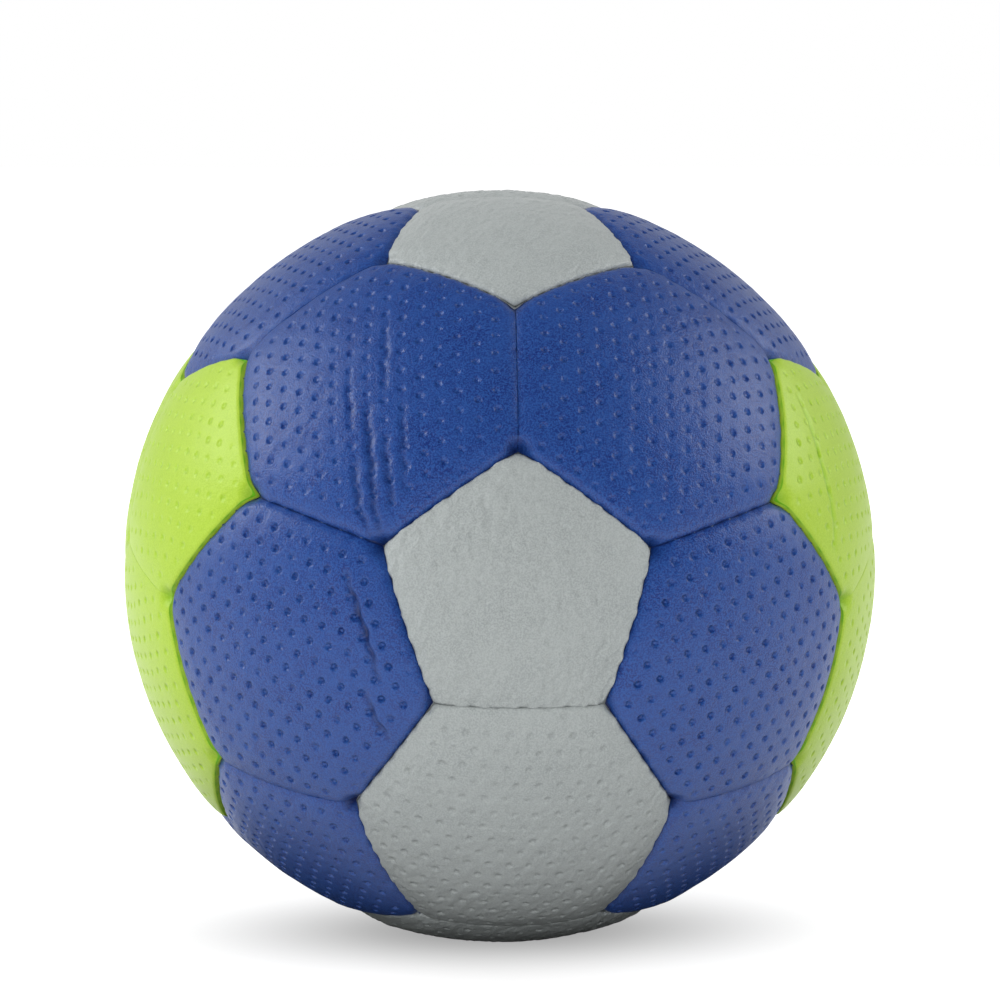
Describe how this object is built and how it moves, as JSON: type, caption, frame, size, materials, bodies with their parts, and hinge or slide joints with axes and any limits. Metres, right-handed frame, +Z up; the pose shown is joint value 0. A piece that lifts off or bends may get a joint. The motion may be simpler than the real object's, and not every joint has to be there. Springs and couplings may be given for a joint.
{
  "type": "handball",
  "caption": "Inflatable ball with a sewn cover of dimpled five-sided and six-sided panels in grey, blue and green, over foam pads, linings and an air bladder with a needle valve.",
  "frame": {"origin": "centre of the ball", "axes": "+Z up as the ball lies in the picture, -Y towards the viewer, +X to the viewer's right; the panel pattern is mirror-symmetric about X = 0"},
  "size_m": [0.1734, 0.1749, 0.1742],
  "materials": {
    "grey_cover": "matt suede-like synthetic leather, dimpled",
    "blue_cover": "matt suede-like synthetic leather, dimpled",
    "green_cover": "matt suede-like synthetic leather, dimpled",
    "foam": "closed-cell foam",
    "lining": "woven cotton and polyester",
    "seam_thread": "waxed twisted polyester thread",
    "bladder": "moulded butyl rubber",
    "valve": "moulded butyl rubber",
    "valve_plug": "soft moulded rubber"
  },
  "bodies": {
    "root": {"bladder": "bladder", "blue_hexagon_back_left": "blue_cover", "blue_hexagon_back_lower_left": "blue_cover", "blue_hexagon_back_lower_right": "blue_cover", "blue_hexagon_back_right": "blue_cover", "blue_hexagon_back_upper_left": "blue_cover", "blue_hexagon_back_upper_right": "blue_cover", "blue_hexagon_front_left": "blue_cover", "blue_hexagon_front_lower_left": "blue_cover", "blue_hexagon_front_lower_right": "blue_cover", "blue_hexagon_front_right": "blue_cover", "blue_hexagon_front_upper_left": "blue_cover", "blue_hexagon_front_upper_right": "blue_cover", "blue_pentagon_lower_left": "blue_cover", "blue_pentagon_lower_right": "blue_cover", "blue_pentagon_upper_left": "blue_cover", "blue_pentagon_upper_right": "blue_cover", "green_hexagon_lower_left": "green_cover", "green_hexagon_lower_right": "green_cover", "green_hexagon_upper_left": "green_cover", "green_hexagon_upper_right": "green_cover", "green_pentagon_back_left": "green_cover", "green_pentagon_back_right": "green_cover", "green_pentagon_front_left": "green_cover", "green_pentagon_front_right": "green_cover", "grey_hexagon_back_lower": "grey_cover", "grey_hexagon_back_upper": "grey_cover", "grey_hexagon_front_lower": "grey_cover", "grey_hexagon_front_upper": "grey_cover", "grey_pentagon_back_lower": "grey_cover", "grey_pentagon_back_upper": "grey_cover", "grey_pentagon_front_lower": "grey_cover", "grey_pentagon_front_upper": "grey_cover", "hexagon_foam_pads": "foam", "hexagon_linings": "lining", "hexagon_seam_threads": "seam_thread", "pentagon_foam_pads": "foam", "pentagon_linings": "lining", "pentagon_seam_threads": "seam_thread", "valve_body": "valve", "valve_core": "valve_plug", "valve_patch": "lining"}
  },
  "joints": []
}
